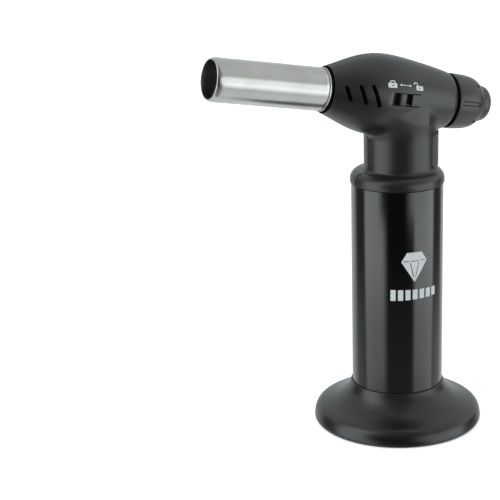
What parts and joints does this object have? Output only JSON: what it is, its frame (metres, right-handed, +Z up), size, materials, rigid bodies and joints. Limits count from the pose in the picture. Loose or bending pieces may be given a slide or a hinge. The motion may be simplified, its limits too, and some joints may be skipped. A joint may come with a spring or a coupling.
{
  "type": "butane torch",
  "caption": "Refillable butane torch: round foot, sleeved fuel tank, clamshell pistol head, stainless burner tube, rear flame ring with piezo push button and side lock slide.",
  "frame": {"origin": "middle of the whole outline's footprint, on the table; the tank axis stands 32.215 mm in +X from it", "axes": "+Z up along the tank, -X the way the burner points, +Y to the far side of the head"},
  "size_m": [0.1962, 0.1086, 0.2541],
  "materials": {
    "black_plastic": "satin moulded, fine spark texture",
    "black_sleeve": "gloss black coating",
    "grey_nylon": "matte",
    "natural_nylon": "translucent natural",
    "stainless": "satin, fine brushed",
    "spring_wire": "bright drawn wire",
    "brass": "machined",
    "black_rubber": "matte",
    "fuel_hose": "satin",
    "ceramic": "glazed ceramic",
    "lead_sleeve": "satin cable sleeve"
  },
  "bodies": {
    "torch_body": {"base_stand": "black_plastic", "base_screw_1": "stainless", "base_screw_2": "stainless", "base_screw_3": "stainless", "body_tube": "black_sleeve", "fuel_tank": "natural_nylon", "tank_end_cap": "natural_nylon", "fill_valve_body": "brass", "fill_valve_spring": "spring_wire", "outlet_valve_body": "brass", "outlet_valve_spring": "spring_wire", "stem_o_ring": "black_rubber", "pickup_tube": "natural_nylon", "head_shell_left": "black_plastic", "head_shell_right": "black_plastic", "neck_back_insert": "black_plastic", "shell_screw_1": "stainless", "shell_screw_2": "stainless", "shell_screw_3": "stainless", "shell_screw_4": "stainless", "shell_screw_5": "stainless", "burner_tube": "stainless", "heat_insulator": "black_rubber", "burner_collar": "stainless", "mixing_tube": "stainless", "flame_holder": "stainless", "jet_holder": "brass", "gas_jet": "brass", "ceramic_insulator": "ceramic", "spark_electrode": "stainless", "ignition_wire": "lead_sleeve", "piezo_body": "grey_nylon", "button_return_spring": "spring_wire", "regulator_body": "brass", "needle_o_ring": "black_rubber", "gas_hose_lower": "fuel_hose", "gas_hose_upper": "fuel_hose", "lever_pin": "stainless", "inner_frame": "grey_nylon"},
    "ignition_button": {"ignition_button": "black_plastic"},
    "piezo_plunger": {"piezo_plunger": "grey_nylon"},
    "valve_lever": {"valve_lever": "stainless"},
    "outlet_valve_stem": {"outlet_valve_stem": "brass", "outlet_valve_seal": "black_rubber"},
    "flame_knob": {"flame_knob": "black_plastic", "knob_gear": "brass", "knob_retaining_ring": "stainless"},
    "regulator_needle": {"regulator_needle": "stainless", "regulator_pinion": "brass"},
    "lock_switch": {"lock_switch": "black_plastic"},
    "fill_valve_stem": {"fill_valve_stem": "brass", "fill_valve_seal": "black_rubber"}
  },
  "joints": [
    {"name": "ignition_button_press", "type": "slide", "parent": "torch_body", "child": "ignition_button", "axis": [-0.9823, 0, 0.1874], "range_m": [0, 0.005], "stiffness_N_per_m": 600, "deforming": ["button_return_spring"]},
    {"name": "piezo_plunger_slide", "type": "slide", "parent": "torch_body", "child": "piezo_plunger", "axis": [-0.9823, 0, 0.1874], "range_m": [0, 0.005]},
    {"name": "valve_lever_pivot", "type": "hinge", "parent": "torch_body", "child": "valve_lever", "pos_m": [0.02022, -0.008, 0.183], "axis": [0, 1, 0], "range_deg": [-9.56, 0]},
    {"name": "outlet_valve_lift", "type": "slide", "parent": "torch_body", "child": "outlet_valve_stem", "axis": [0, 0, 1], "range_m": [0, 0.002], "deforming": ["outlet_valve_spring"]},
    {"name": "flame_knob_turn", "type": "hinge", "parent": "torch_body", "child": "flame_knob", "pos_m": [0.03222, 0, 0.2171], "axis": [-0.9823, 0, 0.1874], "range_deg": [-135, 135]},
    {"name": "regulator_needle_turn", "type": "hinge", "parent": "torch_body", "child": "regulator_needle", "pos_m": [0.02809, 0, 0.19549], "axis": [-0.9823, 0, 0.1874], "range_deg": [-360, 360]},
    {"name": "lock_switch_slide", "type": "slide", "parent": "torch_body", "child": "lock_switch", "axis": [-0.9823, 0, 0.1874], "range_m": [0, 0.004]},
    {"name": "fill_valve_press", "type": "slide", "parent": "torch_body", "child": "fill_valve_stem", "axis": [0, 0, 1], "range_m": [0, 0.0015], "stiffness_N_per_m": 400, "deforming": ["fill_valve_spring"]}
  ],
  "couplings": [
    {"joint": "piezo_plunger_slide", "follows": "ignition_button_press", "ratio": 1},
    {"joint": "valve_lever_pivot", "follows": "ignition_button_press", "rad_per_m": -33.336},
    {"joint": "outlet_valve_lift", "follows": "ignition_button_press", "ratio": 0.4},
    {"joint": "regulator_needle_turn", "follows": "flame_knob_turn", "ratio": -2.6667}
  ]
}
